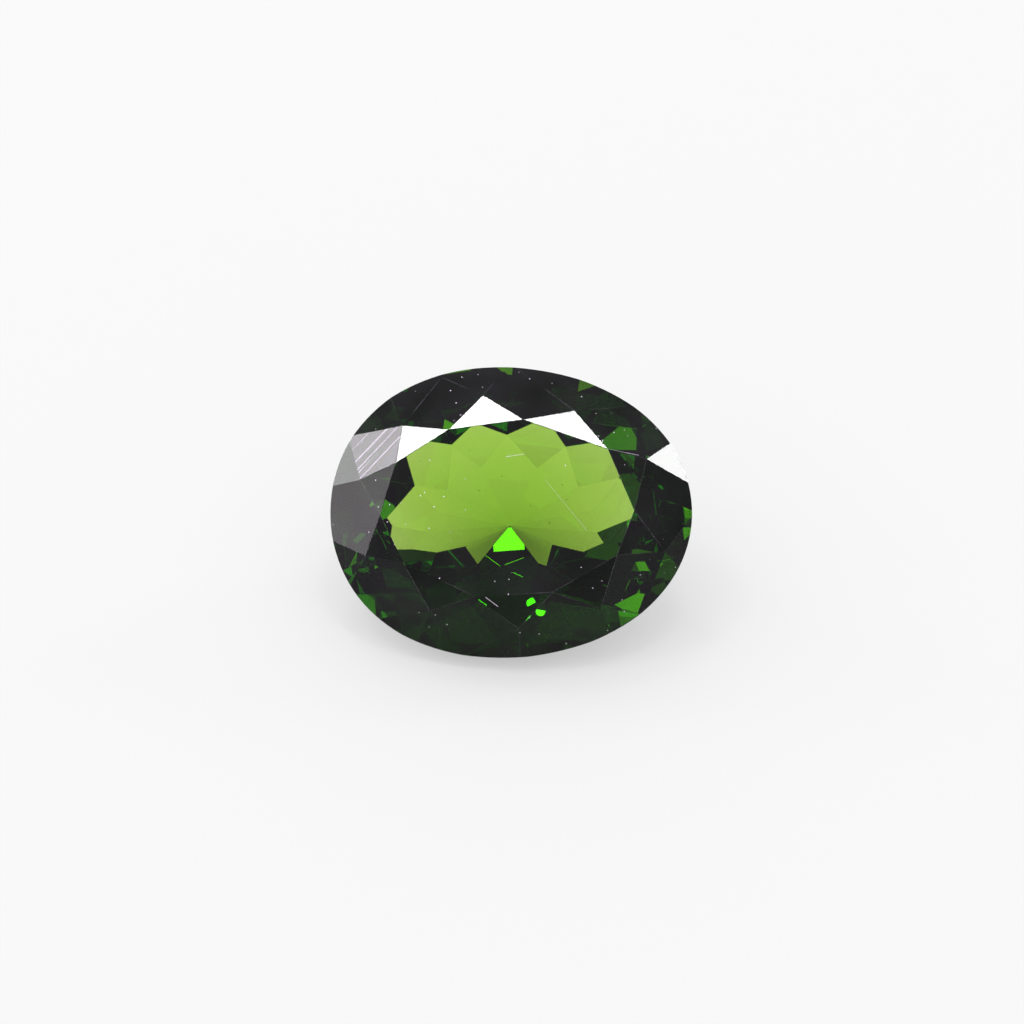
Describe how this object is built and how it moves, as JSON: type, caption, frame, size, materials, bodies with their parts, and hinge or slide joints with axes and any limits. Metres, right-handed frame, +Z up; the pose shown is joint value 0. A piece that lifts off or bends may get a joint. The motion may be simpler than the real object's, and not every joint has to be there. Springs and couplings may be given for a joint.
{
  "type": "chrome diopside gemstone",
  "caption": "Oval faceted gemstone of clear dark green crystal, with a broad flat table, lying on one facet of its pointed underside.",
  "frame": {"origin": "centre of the bounding box at the base, on the surface the stone lies on", "axes": "+X along the long axis of the oval, +Y away from the side the table is tipped towards, +Z up"},
  "size_m": [0.01, 0.0066, 0.0053],
  "materials": {
    "crystal": "polished facets, see-through dark green"
  },
  "bodies": {
    "root": {"gemstone": "crystal"}
  },
  "joints": []
}
